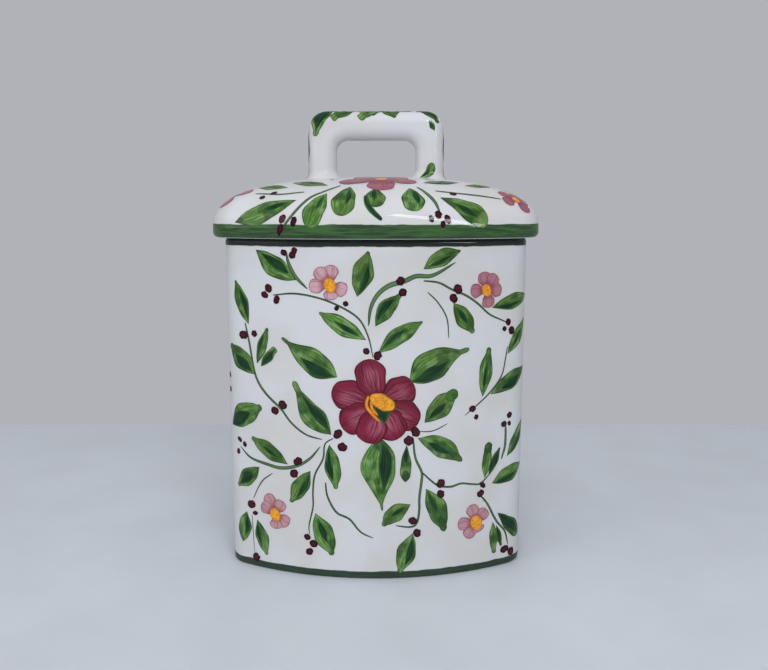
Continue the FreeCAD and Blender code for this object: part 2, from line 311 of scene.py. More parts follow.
def body_material():
    nodes = new_material("body_glaze")
    colour = bare_glaze(nodes)
    colour = brushed_band(nodes, colour, BELOW_FOOT, BASE_BAND_TOP, BASE_BAND_LIGHT, BASE_BAND_DARK)
    # The rim band: its green with painted shade from the lid's overhang, which darkens it to near black.
    colour = brushed_band(nodes, colour, RIM_BAND_FOOT, ABOVE_RIM, RIM_BAND_SHADED_LIGHT, RIM_BAND_SHADED_DARK)
    return nodes.glazed(colour)


def lid_material():
    nodes = new_material("lid_glaze")
    colour = bare_glaze(nodes)
    colour = brushed_band(nodes, colour, LID_BAND_FOOT, LID_BAND_TOP, BAND_LIGHT, BAND_DARK)
    return nodes.glazed(colour)


def handle_material():
    nodes = new_material("handle_glaze")
    return nodes.glazed(bare_glaze(nodes))


def washed(nodes, colour, share):
    """Pale where the white glaze shows through thin paint: in patches, along the brush's hairs."""
    patches = nodes.ramp(nodes.noise(nodes.place(), 0.2, 2.0), 0.42, 0.68)
    thin = nodes.math("MULTIPLY", patches, nodes.streaks(0.34, 0.64, fine=1.9, run=0.05))
    return nodes.blend(nodes.share_of(thin, share), colour, LEAF_WASH)


def leaf_material():
    nodes = new_material("leaf_paint")
    tone = nodes.split("tint")[0]
    colour = nodes.blend(nodes.streaks(0.44, 0.68, fine=1.5, run=0.07), LEAF_MID, LEAF_LIGHT)
    colour = washed(nodes, colour, 0.6)
    olive = nodes.ramp(tone, 0.25, 0.55)
    colour = nodes.blend(nodes.share_of(olive, 0.35), colour, LEAF_OLIVE)
    colour = nodes.blend(nodes.ramp(tone, 0.8, 1.0), colour, LEAF_MID)
    pool = nodes.ramp(nodes.noise(nodes.place(), 0.16, 1.0), 0.44, 0.60)
    colour = nodes.blend(nodes.share_of(pool, 0.62), colour, LEAF_DEEP)
    colour = nodes.blend(nodes.share_of(nodes.rim(0.7, 0.35), 0.7), colour, LEAF_DEEP)
    return nodes.glazed(colour)


def shade_material():
    nodes = new_material("shade_paint")
    hairs = nodes.streaks(0.3, 0.75)
    colour = nodes.blend(hairs, SHADE_DARK, SHADE_LIGHT)
    broken = nodes.math("ADD", nodes.split("brush")[2], nodes.share_of(hairs, -0.9))
    thin = nodes.math("SUBTRACT", 1.0, nodes.ramp(broken, -0.5, 0.5))
    colour = nodes.blend(nodes.share_of(thin, 0.85), colour, LEAF_MID)
    return nodes.glazed(colour)


def stem_material():
    nodes = new_material("stem_paint")
    colour = nodes.blend(nodes.rim(0.75, 0.12), STEM_PALE, STEM_DARK)
    colour = nodes.blend(nodes.share_of(nodes.streaks(), 0.3), colour, LEAF_DEEP)
    return nodes.glazed(colour)


def berry_material():
    nodes = new_material("berry_paint")
    colour = nodes.blend(nodes.rim(1.1), BERRY_LIGHT, BERRY_DARK)
    colour = nodes.blend(nodes.share_of(nodes.streaks(0.4, 0.6), 0.5), colour, BERRY_DARK)
    return nodes.glazed(colour)


def petal_material():
    nodes = new_material("petal_paint")
    tone, share, across = nodes.split("tint")
    colour = nodes.blend(nodes.streaks(0.30, 0.56, fine=1.3, run=0.035), PETAL_DARK, PETAL_MID)
    lean = nodes.math("SUBTRACT", tone, 0.3)
    off_side = nodes.math("ABSOLUTE", nodes.math("ADD", across, lean))
    body = nodes.math("MULTIPLY", nodes.ramp(share, 0.15, 0.45), nodes.ramp(share, 0.92, 0.6))
    body = nodes.math("MULTIPLY", body, nodes.ramp(off_side, 0.85, 0.1))
    light = nodes.math("MULTIPLY", nodes.streaks(0.40, 0.66, fine=2.2, run=0.04), body)
    colour = nodes.blend(nodes.share_of(light, 0.9), colour, PETAL_STREAK)
    colour = nodes.blend(nodes.share_of(nodes.ramp(share, 0.3, 0.05), 0.7), colour, PETAL_DARK)
    colour = nodes.blend(nodes.share_of(nodes.rim(1.0), 0.9), colour, PETAL_DARK)
    return nodes.glazed(colour)


def blossom_material():
    nodes = new_material("blossom_paint")
    tone, share = nodes.split("tint")[:2]
    colour = nodes.blend(nodes.share_of(tone, 0.8), BLOSSOM_PALE, BLOSSOM_DEEP)
    hairs = nodes.streaks(0.44, 0.68, fine=1.2, run=0.06)
    colour = nodes.blend(nodes.share_of(hairs, 0.55), colour, BLOSSOM_DEEP)
    colour = nodes.blend(nodes.share_of(nodes.ramp(share, 0.6, 0.25), 0.75), colour, BLOSSOM_DEEP)
    colour = nodes.blend(nodes.share_of(nodes.rim(0.75), 0.8), colour, BLOSSOM_DEEP)
    return nodes.glazed(colour)


def heart_material():
    nodes = new_material("heart_paint")
    stipple = nodes.ramp(nodes.noise(nodes.place(), 0.9, 2.0), 0.42, 0.62)
    colour = nodes.blend(nodes.share_of(stipple, 0.6), HEART_YELLOW, HEART_BROWN)
    colour = nodes.blend(nodes.share_of(nodes.rim(0.7), 0.8), colour, HEART_BROWN)
    return nodes.glazed(colour)


def dress(node, material):
    """Gives a solid its glaze."""
    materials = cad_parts[node].data.materials
    materials.clear()
    materials.append(material)


# Sizes of the body's wall in plan, in millimetres: bowed front and back,
# straight sides and round corners.
HALF_WIDTH = 70
HALF_DEPTH = 49
BOW_RADIUS = 130
CORNER_RADIUS = 14
BOW_CENTRE = BOW_RADIUS - HALF_DEPTH
CORNER_X = HALF_WIDTH - CORNER_RADIUS
BOW_ANGLE = math.asin(CORNER_X / (BOW_RADIUS - CORNER_RADIUS))
CORNER_Y = (BOW_RADIUS - CORNER_RADIUS) * math.cos(BOW_ANGLE) - BOW_CENTRE
BOW_LENGTH = BOW_RADIUS * BOW_ANGLE
CORNER_LENGTH = CORNER_RADIUS * (math.pi / 2 - BOW_ANGLE)
QUARTER = BOW_LENGTH + CORNER_LENGTH + CORNER_Y  # from mid front to mid side


def wall_canvas(middle):
    """The body's wall as a canvas: right along it from middle, and up from the foot."""

    def place(right, up):
        along = (middle + right + 2 * QUARTER) % (4 * QUARTER) - 2 * QUARTER
        side = math.copysign(1, along)
        run = abs(along)
        front = 1 if run <= QUARTER else -1
        run = min(run, 2 * QUARTER - run)
        if run <= BOW_LENGTH:
            angle, radius, centre = run / BOW_RADIUS, BOW_RADIUS, (0, BOW_CENTRE)
        else:
            turn = min((run - BOW_LENGTH) / CORNER_RADIUS, math.pi / 2 - BOW_ANGLE)
            angle, radius, centre = BOW_ANGLE + turn, CORNER_RADIUS, (CORNER_X, -CORNER_Y)
        past_corner = max(run - BOW_LENGTH - CORNER_LENGTH, 0)
        x = centre[0] + radius * math.sin(angle)
        y = centre[1] - radius * math.cos(angle) + past_corner
        outward = Vector((side * math.sin(angle), -front * math.cos(angle), 0))
        return Vector((side * x, front * y, up)) * MM, outward

    return place


def solid_canvas(node, azimuth, elevation, middle):
    """A solid as seen from one side: right and up from middle, square to that view."""
    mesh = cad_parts[node].data
    tree = BVHTree.FromPolygons([v.co for v in mesh.vertices], [p.vertices for p in mesh.polygons])
    turn, climb = math.radians(azimuth), math.radians(elevation)
    across = Vector((math.cos(turn), math.sin(turn), 0))
    level = math.cos(climb)
    outward = Vector((math.sin(turn) * level, -math.cos(turn) * level, math.sin(climb)))
    upward = outward.cross(across)

    def nearest_in_sight(on_plane):
        """The solid's nearest point to a line of sight that misses it."""
        steps = range(-SIGHT, SIGHT + 1, SIGHT_STEP)
        tries = [tree.find_nearest(on_plane + outward * (step * MM)) for step in steps]
        return min(tries, key=lambda found: found[3])

    def place(right, up):
        on_plane = (Vector(middle) + across * right + upward * up) * MM
        point, normal = tree.ray_cast(on_plane + outward, -outward)[:2]
        if point is None:
            point, normal = nearest_in_sight(on_plane)[:2]
        return point, normal

    return place


def swell(rise, fall):
    """A width that grows from 0 to 1 and falls back to 0, round where a power is small."""
    top = rise / (rise + fall)
    peak = top ** rise * (1 - top) ** fall
    return lambda share: max(share, 0) ** rise * max(1 - share, 0) ** fall / peak


class Stroke:
    """One stroke of the brush: a smooth line with a half width that changes along it."""

    def __init__(self, points, half_width):
        self.line = self.smooth([Vector(point) for point in points])
        self.runs = [0.0]
        for start, end in zip(self.line, self.line[1:]):
            self.runs.append(self.runs[-1] + (end - start).length)
        self.length = self.runs[-1]
        self.half_width = half_width
        self.phase = hand.uniform(0, 6)

    @staticmethod
    def smooth(points, steps=10):
        """Points close together on a smooth curve through the given ones."""
        ends = [2 * points[0] - points[1]] + points + [2 * points[-1] - points[-2]]
        line = []
        for before, start, end, after in zip(ends, ends[1:], ends[2:], ends[3:]):
            for step in range(steps):
                t = step / steps
                middle = (end - before) * t + (2 * before - 5 * start + 4 * end - after) * t ** 2
                line.append(start + 0.5 * (middle + (3 * start - before - 3 * end + after) * t ** 3))
        return line + [points[-1]]

    def at(self, share, across):
        """The place a share of the way along, and across from -1 at the right to 1 at the left."""
        run = min(max(share, 0), 1) * self.length
        step = max(i for i, r in enumerate(self.runs[:-1]) if r <= run + ROUNDING)
        piece = self.line[step + 1] - self.line[step]
        ahead = piece.normalized()
        spot = self.line[step] + ahead * (run - self.runs[step])
        unsteady = 1 + UNSTEADY * math.sin(WAVES * share + self.phase + 2 * across)
        return spot + Vector((-ahead.y, ahead.x)) * (self.half_width(share) * across * unsteady)


class Inner:
    """A stroke laid over part of another one, from start to end of its length."""

    def __init__(self, outer, start, end, side, share, shape):
        self.outer, self.start, self.end = outer, start, end
        self.side, self.share, self.shape = side, share, shape
        self.length = (end - start) * outer.length

    def half_width(self, share):
        place = self.start + (self.end - self.start) * share
        return self.outer.half_width(place) * self.share * self.shape(share)

    def at(self, share, across):
        place = self.start + (self.end - self.start) * share
        return self.outer.at(place, self.side + self.share * self.shape(share) * across)


class Paint:
    """All strokes of one paint on one body, gathered into one thin piece."""

    def __init__(self, name, body, slot, material, lift):
        self.name, self.body, self.slot = name, body, slot
        self.material, self.lift = material, lift
        self.points, self.faces, self.brush, self.tint = [], [], [], []

    def add(self, canvas, stroke, tone=None, over=0.0):
        """Lays a stroke on a canvas. tone is its shade, and over lifts it over its neighbours.

        brush holds how far along and across the stroke a point is, and how far
        inside its edge. tint holds the tone and the same two places as shares.
        """
        tone = hand.random() * PLAIN_TONES if tone is None else tone
        widest = max(stroke.half_width(step / WIDTH_LOOKS) for step in range(WIDTH_LOOKS + 1))
        rows = max(LEAST_ROWS, round(stroke.length / ROW_STEP))
        crowding = min(1, ENDS_ROWS / rows)
        columns = 2 * max(1, round(widest / COLUMN_STEP))
        seed = hand.random() * STREAK_SPREAD
        first = len(self.points)
        for row in range(rows + 1):
            eased = (1 - math.cos(math.pi * row / rows)) / 2
            share = END_GAP + (1 - 2 * END_GAP) * (crowding * eased + (1 - crowding) * row / rows)
            half = stroke.half_width(share)
            for column in range(columns + 1):
                across = 2 * column / columns - 1
                point, normal = canvas(*stroke.at(share, across))
                self.points.append(point + normal * ((self.lift + over) * MM))
                run = share * stroke.length
                edge = min((1 - abs(across)) * half, run, (1 - share) * stroke.length)
                self.brush.append((run, across * widest + seed, edge))
                self.tint.append((tone, share, across))
        wide = columns + 1
        for row in range(rows):
            for column in range(columns):
                corner = first + row * wide + column
                self.faces.append((corner, corner + wide, corner + wide + 1, corner + 1))

    def finish(self):
        mesh = bpy.data.meshes.new(self.name)
        mesh.from_pydata(self.points, [], self.faces)
        for name, values in (("brush", self.brush), ("tint", self.tint)):
            attribute = mesh.attributes.new(name, "FLOAT_VECTOR", "POINT")
            attribute.data.foreach_set("vector", [number for value in values for number in value])
        mesh.polygons.foreach_set("use_smooth", [True] * len(mesh.polygons))
        mesh.materials.append(self.material)
        piece = bpy.data.objects.new(self.name, mesh)
        bpy.context.scene.collection.objects.link(piece)
        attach(piece, self.body)


LEAF = swell(1.15, 1.1)
TAILED = swell(1.1, 1.8)
TEARDROP = swell(1.0, 0.5)
PETAL = swell(0.75, 0.48)
ROUND = swell(0.5, 0.5)
TAPER = swell(0.22, 0.3)
LONG_TAPER = swell(0.55, 0.6)
BROAD_STEM = 1.5  # mm, from where a stem thins out over its whole length

# Heights in millimetres that the canvases of the lid and the handle are centred
# on, and the degrees above the horizon that they are looked at from.
LID_MIDDLE = 170
LEG_MIDDLE = 190
BAR_MIDDLE = 200
SLOPE_VIEW = 50
FOOT_VIEW = 10

# Where a leaf's dark stroke lies: from and to along it, to which side, and
# what share of its width it takes.
MIDDLE = (0.14, 0.72, 0.0, 0.36)
LEFT = (0.03, 0.82, 0.42, 0.46)
RIGHT = (0.03, 0.82, -0.42, 0.46)
BASE = (0.0, 0.55, 0.0, 0.8)
ALL = (0.0, 1.0, 0.0, 0.94)


class Painter:
    """Paints motifs with one body's paints on one canvas. All places are in millimetres."""

    def __init__(self, paints, canvas):
        self.paints, self.canvas = paints, canvas

    def leaf(self, base, tip, width, dark=MIDDLE, stub=0.0, bend=0.0, dab=0.0, shape=LEAF):
        """A leaf from base to tip. stub rounds the tip off, and dab presses a spot on it."""
        start, end = Vector(base), Vector(tip)
        ahead = (end - start).normalized()
        sideways = Vector((-ahead.y, ahead.x))
        middle = (start + end) / 2 + sideways * bend

        def half_width(share):
            past = max((share - BLUNT_FROM) / BLUNT_LENGTH, 0)
            blunt = math.sqrt(max(1 - past ** 2, 0)) if share > 0.5 else 0
            return max(shape(share) * width / 2, stub * blunt)

        blade = Stroke([start, middle, end], half_width)
        self.paints["leaves"].add(self.canvas, blade)
        if dark:
            full, drawn_out = hand.uniform(0.45, 0.8), hand.uniform(0.6, 1.3)
            self.paints["shades"].add(self.canvas, Inner(blade, *dark, swell(full, drawn_out)))
        if dab:
            spot = [blade.at(0.7, 0), blade.at(0.85, 0), end + ahead * 0.3]
            press = Stroke(spot, lambda share: dab * ROUND(share))
            self.paints["leaves"].add(self.canvas, press, 1.0, 0.03)

    def stem(self, points, width):
        shape = LONG_TAPER if width > BROAD_STEM else TAPER
        self.paints["stems"].add(self.canvas, Stroke(points, lambda share: width / 2 * shape(share)))

    def berries(self, *spots):
        """Dabs, each at a place with a radius, and none of them quite round."""
        for right, up, radius in spots:
            angle = hand.uniform(0, math.pi)
            reach = Vector((math.cos(angle), math.sin(angle))) * radius * hand.uniform(0.95, 1.2)
            spot, lean = Vector((right, up)), hand.uniform(0.8, 1.0)

            def half_width(share, radius=radius, lean=lean, phase=hand.uniform(0, 6)):
                wobble = 1 + BERRY_UNSTEADY * math.sin(BERRY_WAVES * share + phase)
                return radius * lean * ROUND(share) * wobble

            self.paints["berries"].add(self.canvas, Stroke([spot - reach, spot + reach], half_width))

    def petal(self, paint, centre, angle, start, end, width, tone, over, shape=PETAL):
        way = Vector((math.cos(math.radians(angle)), math.sin(math.radians(angle))))
        line = [Vector(centre) + way * start, Vector(centre) + way * end]
        stroke = Stroke(line, lambda share: width / 2 * shape(share))
        self.paints[paint].add(self.canvas, stroke, tone, over)

    def blossom(self, centre, petals, tone=0.3, size=1.0, heart=3.1):
        """A small pale flower: petals are angles with how far each one reaches."""
        for number, (angle, reach) in enumerate(petals):
            over = PETAL_LAYER * number
            self.petal("blossoms", centre, angle, 0.6, reach * size, 6.6 * size, tone, over, TEARDROP)
        reach = Vector((-0.4, 1)) * heart
        line = [Vector(centre) + reach, Vector(centre) - reach]
        core = Stroke(line, lambda share: 0.86 * heart * ROUND(share))
        self.paints["hearts"].add(self.canvas, core, 0.7, 0.05)

    def flower(self, centre, petals, width):
        """A large dark flower, its later petals over the earlier ones."""
        for number, (angle, reach) in enumerate(petals):
            self.petal("petals", centre, angle, 1.5, reach, width, None, LARGE_PETAL_LAYER * number)


def large_leaves(painter):
    """The front's four large leaves, behind the flower."""
    leaf = painter.leaf
    leaf((-17, 95), (-43, 112), 12, (0.0, 0.62, 0.4, 0.5), stub=0.9, bend=0.5, shape=TAILED)
    leaf((15, 93), (43, 107), 14.5, (0.0, 0.7, -0.45, 0.45), stub=1.2, bend=2, shape=TAILED)
    leaf((2, 68), (3, 33), 16, (0.02, 0.8, 0.4, 0.42), stub=0.6, bend=-1.0, shape=TAILED)
    leaf((-20, 68.5), (-37.5, 92.5), 10.5, RIGHT, stub=1.4, bend=2.2, shape=TAILED)


def upper_left_sprays(painter):
    """A spray and a pale flower at the front's upper left."""
    leaf, stem, berries = painter.leaf, painter.stem, painter.berries
    stem([(-47, 131), (-36, 132), (-24, 130), (-14, 126), (-7, 121), (-3, 113), (-1, 104)], 0.9)
    berries((-49, 134, 1.9), (-51, 131, 1.7), (-45, 129, 1.7), (-13, 128, 1.2), (-17, 126, 1.2))
    leaf((-4, 112), (-25, 124), 8, MIDDLE, stub=0.9)
    leaf((-35, 138), (-55, 151), 9.5, (0.2, 0.95, -0.3, 0.5), stub=0.5, bend=1)
    stem([(-40, 151), (-39, 146), (-36, 140), (-30, 134)], 1.7)
    berries((-41, 150, 1.6), (-37, 149, 1.7), (-36, 151, 1.5))
    leaf((-8, 131), (-3, 151), 9.5, RIGHT, stub=1.0)
    painter.blossom((-20, 136), ((84, 9), (130, 9.5), (184, 9.5), (275, 6.5), (342, 8)), 0.2)


def left_stem(painter):
    """The long stem down the front's left."""
    leaf, stem, berries = painter.leaf, painter.stem, painter.berries
    stem([(-62, 118), (-60, 109), (-57, 94), (-52, 86), (-44, 79), (-39, 73), (-32, 68), (-24, 66)], 1.15)
    leaf((-60, 117), (-67, 137), 7, RIGHT, stub=0.8)
    leaf((-56, 99), (-50, 116), 5, LEFT, stub=0.9)
    leaf((-54, 98), (-46, 107), 4.5, ALL, stub=1.7)
    leaf((-57, 94), (-72, 107), 9.5, (0.1, 0.75, 0.15, 0.6), stub=1.5)
    berries((-63, 112, 2.1), (-57, 113, 1.5), (-43, 81, 2.0), (-47, 78, 1.9), (-74, 92, 1.3), (-74, 85, 1.3))
    leaf((-73, 68), (-54, 79), 11, (0.0, 0.7, -0.1, 0.8), stub=1.7, bend=1)


def lower_left_sprays(painter):
    """Sprays and a pale flower at the front's lower left."""
    leaf, stem, berries = painter.leaf, painter.stem, painter.berries
    stem([(-19, 67), (-23, 64), (-24, 57), (-28, 49), (-29, 41), (-29, 34), (-31, 25), (-31, 20)], 0.85)
    berries((-17, 69, 2.2), (-15, 63, 2.2), (-32, 19, 1.6), (-29, 16, 1.8), (-31, 12, 1.8))
    leaf((-21, 64), (-18, 43), 7.5, RIGHT, stub=1.2)
    leaf((-30, 51), (-40, 35), 8, LEFT, stub=1.2)
    leaf((-28, 31), (-20, 11), 10, MIDDLE, stub=1.5)
    stem([(-25, 63), (-30, 57), (-36, 53), (-44, 51), (-52, 52), (-61, 54), (-67, 59)], 1.6)
    berries((-36, 55, 2.2), (-38, 49, 2.1), (-67, 62, 1.3), (-64, 60, 1.2), (-68, 56, 1.3))
    leaf((-41, 53), (-60, 64), 7.5, MIDDLE, stub=1.2)
    stem([(-49, 48), (-55, 43), (-60, 34)], 0.6)
    berries((-61, 31, 2.2), (-59, 27, 1.3))
    leaf((-56, 50), (-69, 39), 8, (0.3, 1.0, 0.0, 0.7), stub=1.2)
    leaf((-64, 27), (-67, 11), 8, LEFT)
    leaf((-58, 24), (-53, 7), 7, RIGHT, stub=1.0)
    stem([(-61, 26), (-60, 7)], 0.4)
    berries((-59, 5, 2.2))
    painter.blossom((-48, 28), ((113, 10.5), (63, 8), (150, 8.5), (331, 8), (274, 7)), 0.45)
    stem([(-23, 46), (-22, 39), (-18, 32), (-12, 29), (-7, 23), (-1, 20)], 1.0)


def upper_right_sprays(painter):
    """Sprays and a pale flower at the front's upper right."""
    leaf, stem, berries = painter.leaf, painter.stem, painter.berries
    arch = [(-3, 118), (-2, 126), (1, 132), (6, 136), (13, 138), (18, 140), (24, 140), (29, 142), (36, 146)]
    stem(arch, 2.2)
    berries((11, 138, 2.0), (12, 133, 1.9), (-4, 107, 1.6), (1, 105, 2.0))
    leaf((21, 143), (38, 151), 7.5, (0.1, 0.8, -0.3, 0.4), stub=0.8, bend=1)
    leaf((0, 118), (11, 132), 7.5, (0.05, 0.9, 0.3, 0.55), stub=1.2, bend=1)
    leaf((1, 106), (21, 120), 7.8, (0.0, 0.7, 0.2, 0.4), stub=0.8, bend=1)
    stem([(21, 138), (28, 137), (34, 134), (41, 131), (47, 127), (53, 122), (62, 118)], 1.0)
    stem([(23, 133), (28, 128), (32, 121), (33, 112)], 0.65)
    berries((37, 134, 2.0), (35, 130, 2.2), (63, 118, 1.7), (61, 115, 1.2), (65, 114, 1.8))
    leaf((35, 128), (45, 114), 8, MIDDLE, stub=1.3)
    painter.blossom((51, 133), ((103, 8.5), (55, 8.5), (180, 8), (0, 8), (282, 8)), 0.8, heart=2.7)
    leaf((54, 125), (77, 130), 7, RIGHT, stub=0.6)


def right_sprays(painter):
    """The sprays at the front's right."""
    leaf, stem, berries = painter.leaf, painter.stem, painter.berries
    stem([(63, 107), (62, 101), (60, 93), (54, 86), (48, 81), (41, 76)], 0.75)
    leaf((63, 103), (75, 119), 6.5, MIDDLE, stub=0.6)
    leaf((50, 84), (53, 107), 6.8, MIDDLE, stub=1.3)
    leaf((54, 85), (76, 96), 8, (0.25, 0.85, -0.3, 0.6), stub=0.9)
    berries((45, 79, 1.6), (47, 75, 1.3))
    leaf((22, 74), (37, 88), 10, (0.05, 0.65, -0.1, 0.4), stub=2.0, dab=2.7)
    stem([(20, 70), (26, 70), (33, 73)], 0.5)
    leaf((19, 67), (40, 55), 9.5, (0.2, 0.75, -0.2, 0.4), stub=1.4, dab=1.6, bend=1.5)
    berries((18, 70, 2.3), (15, 66, 2.4))
    leaf((14, 64), (13.5, 47), 5.2, BASE, dab=1.5, shape=TEARDROP)


def lower_right_sprays(painter):
    """Sprays and a pale flower at the lower right."""
    leaf, stem, berries = painter.leaf, painter.stem, painter.berries
    stem([(17, 66), (18, 58), (21, 51), (21, 47), (20, 39), (20, 33), (19, 27), (16, 25), (9, 26)], 1.2)
    leaf((16, 36), (3, 26), 8, MIDDLE, stub=1.2, bend=-1)
    leaf((23, 43), (32, 22), 9.5, (0.05, 0.6, -0.1, 0.4), stub=1.7, dab=1.8, bend=1)
    leaf((17, 22), (11, 3), 9, (0.05, 0.85, 0.4, 0.45), stub=1.4)
    berries((17, 28, 1.9), (19, 22, 1.9))
    stem([(21, 51), (25, 47), (29, 44), (35, 43), (40, 44), (46, 43), (50, 43), (56, 48)], 1.0)
    berries((30, 45, 2.1), (30, 40, 1.9), (51, 42, 1.5), (50, 38, 1.9))
    leaf((52, 45), (54, 62), 5, None, stub=2.0, dab=2.0)
    leaf((54, 46), (60, 59), 4, ALL, stub=0.6)
    stem([(63, 69), (63, 60), (61, 53)], 1.3)
    berries((62, 70, 1.6), (65, 74, 1.6), (65, 70, 1.0))
    leaf((64, 54), (77, 71), 6.5, RIGHT, stub=0.5)
    leaf((56, 42), (75, 49), 8, RIGHT, stub=0.9)
    stem([(50, 37), (54, 32), (59, 23), (64, 17), (66, 10)], 1.1)
    leaf((59.5, 27), (74, 13.5), 7.5, ALL, shape=TEARDROP)
    leaf((57, 23), (58, 7), 4.6, None, stub=1.2)
    leaf((59, 21), (62, 10), 3.2, ALL, stub=0.8)
    berries((64, 8, 2.2), (68, 6, 2.1))
    painter.blossom((48, 24), ((107, 9.5), (47, 8), (178, 9.5), (232, 8.5), (290, 5)), 0.5, heart=3.5)


def large_flower(painter):
    """The dark flower in the front's middle."""
    petals = ((30, 18.5), (336, 20.5), (163, 21.5), (214, 19.5), (301, 18.5), (256, 18.5), (104, 21))
    painter.flower((1, 83), petals, 14)
    flower_heart(painter, (2.5, 83.5))


def front_bouquet(painter):
    """The bowed face: one large flower, big leaves round it, and sprays to all corners."""
    large_leaves(painter)
    upper_left_sprays(painter)
    left_stem(painter)
    lower_left_sprays(painter)
    upper_right_sprays(painter)
    right_sprays(painter)
    lower_right_sprays(painter)
    large_flower(painter)


def flower_heart(painter, centre):
    """The large flower's yellow middle, with green and brown strokes under it."""
    right, up = centre

    def dab(paint, points, half, tone, over, shape=ROUND):
        line = [(right + x, up + y) for x, y in points]
        painter.paints[paint].add(painter.canvas, Stroke(line, lambda share: half * shape(share)), tone, over)

    dab("shades", [(0.5, 0.5), (1.5, -9.5)], 3.4, 0.9, 0.16, swell(0.4, 0.9))
    dab("hearts", [(-5.5, 3.5), (-6.5, -1), (-3.5, -5.5), (-0.5, -8.5)], 0.75, 0.1, 0.14, TAPER)
    dab("hearts", [(-4.5, 1.5), (-4, -2.5), (-1.5, -5.5)], 0.7, 0.25, 0.14, TAPER)
    dab("shades", [(-4.6, 3.4), (6.4, -2.8)], 3.7, 1.0, 0.17)
    dab("hearts", [(-4.8, 3.4), (5.9, -2.4)], 3.4, 0.5, 0.16)


def side_spray(painter):
    """The narrow sides: climbing stems with leaves, berries and a pale flower."""
    leaf, stem, berries = painter.leaf, painter.stem, painter.berries
    stem([(-3, 12), (3, 30), (-2, 48), (4, 64), (0, 70)], 1.6)
    stem([(1, 92), (5, 106), (-2, 122), (3, 138)], 1.5)
    stem([(2, 34), (10, 40), (15, 50)], 1.0)
    stem([(3, 110), (11, 113), (16, 122)], 1.0)
    leaf((2, 24), (15, 14), 7.5, RIGHT, stub=1.1)
    leaf((0, 30), (-15, 22), 8, MIDDLE, stub=1.0)
    leaf((-1, 46), (-17, 55), 8, LEFT, stub=1.2)
    leaf((1, 54), (17, 66), 8, MIDDLE, stub=1.3, dab=1.5)
    leaf((0, 69), (-16, 78), 9, RIGHT, stub=1.3)
    leaf((4, 100), (17, 92), 7.5, LEFT, stub=1.0)
    leaf((3, 104), (-15, 99), 8, MIDDLE, stub=1.0)
    leaf((-1, 120), (-16, 129), 8, RIGHT, stub=1.2)
    leaf((1, 131), (13, 142), 7, MIDDLE, stub=1.0)
    leaf((0, 134), (-9, 147), 6, LEFT, stub=0.9)
    berries((16, 52, 2.0), (13, 55, 1.7), (18, 56, 1.6), (-8, 38, 1.9), (-11, 41, 1.6))
    berries((17, 124, 2.0), (14, 127, 1.7), (18, 129, 1.5), (8, 119, 1.7), (-10, 113, 1.8))
    berries((-5, 13, 1.8), (-8, 10, 1.6), (9, 74, 1.7), (-12, 66, 1.5))
    petals = ((90, 8.5), (148, 8.5), (200, 8.5), (282, 7), (345, 8.5))
    painter.blossom((0, 82), petals, 0.45, 1.35, 4.2)


def lid_spray(painter):
    """One long side of the lid: leaves and stems down from the handle, and a flower at each corner."""
    leaf, stem, berries = painter.leaf, painter.stem, painter.berries
    leaf((-34, -32.5), (-62, -34.5), 9, (0.1, 0.6, -0.1, 0.36), stub=0.5, bend=1.2)
    leaf((-21, -30), (-29, -45), 9.5, (0.1, 0.6, 0.1, 0.35), shape=TEARDROP)
    leaf((-11, -25), (-15, -43), 10.5, (0.1, 0.75, 0.3, 0.35), shape=TEARDROP)
    leaf((0, -27), (0, -40), 9, (0.1, 0.8, -0.1, 0.45), shape=TEARDROP)
    hook = Stroke([(-4, -33), (-3.5, -38), (-1, -42), (3, -45)], lambda share: 1.2 * TAPER(share))
    painter.paints["shades"].add(painter.canvas, hook, 1.0, 0.02)
    leaf((15, -26), (17, -41), 10, (0.1, 0.8, 0.4, 0.38), shape=TEARDROP)
    leaf((28, -32), (49, -39), 9.5, (0.2, 0.8, -0.2, 0.35), shape=TEARDROP)
    leaf((-39, -20), (-54, -13), 6, MIDDLE)
    leaf((-21, -22), (-38, -12), 7, RIGHT)
    leaf((21, -18), (38, -12), 6.5, RIGHT)
    leaf((40, -17), (53, -12), 5, MIDDLE)
    stem([(-15, -23), (-22, -28), (-28, -32), (-35, -39), (-41, -44)], 1.4)
    stem([(18, -24), (23, -31), (26, -36), (28, -41)], 1.7)
    stem([(-31, -27), (-42, -26), (-54, -21)], 1.2)
    stem([(26, -27), (35, -27), (46, -26), (56, -25)], 1.2)
    berries((-40, -40, 1.6), (-35, -42, 1.5), (-41, -43, 1.4), (24, -43, 1.2), (27, -41, 1.6), (31, -42, 1.5))
    berries((-50, -26, 1.4), (-45, -24, 1.4), (-20, -10.5, 0.8), (34, -28, 1.5), (29, -44, 1.2))
    painter.blossom((63, -22), ((150, 9.5), (85, 7), (25, 7), (218, 8), (318, 8.5)), 1.0, 0.9, 2.2)
    painter.blossom((-66, -12.5), ((50, 8), (120, 8), (200, 8), (256, 10.5), (338, 11)), 0.9, 1.0, 2.4)


def lid_end(painter):
    """A short end of the lid: a small spray beside the flower on the corner."""
    painter.leaf((-6, -33), (-19, -48), 8, MIDDLE, shape=TEARDROP)
    painter.leaf((-1, -35), (-6, -53), 8, LEFT, shape=TEARDROP)
    painter.stem([(-2, -28), (-10, -38), (-13, -47)], 1.2)
    painter.berries((-12, -50, 1.7), (-15, -52, 1.5), (3, -41, 1.6), (1, -46, 1.3))


def crest_flower(painter):
    """A wide mauve flower on the slope of the lid, in front of the handle."""
    centre = (2.5, -13.5)
    petals = ((90, 9, 10), (145, 14, 11), (35, 14, 11), (196, 19.5, 9), (344, 16.5, 8.5), (270, 15.5, 12.5))
    for number, (angle, reach, width) in enumerate(petals):
        painter.petal("blossoms", centre, angle, 1.0, reach, width, 1.0, PETAL_LAYER * number)
    core = Stroke([(-0.5, -13), (5.5, -14)], lambda share: 2.6 * ROUND(share))
    painter.paints["hearts"].add(painter.canvas, core, 0.5, 0.1)


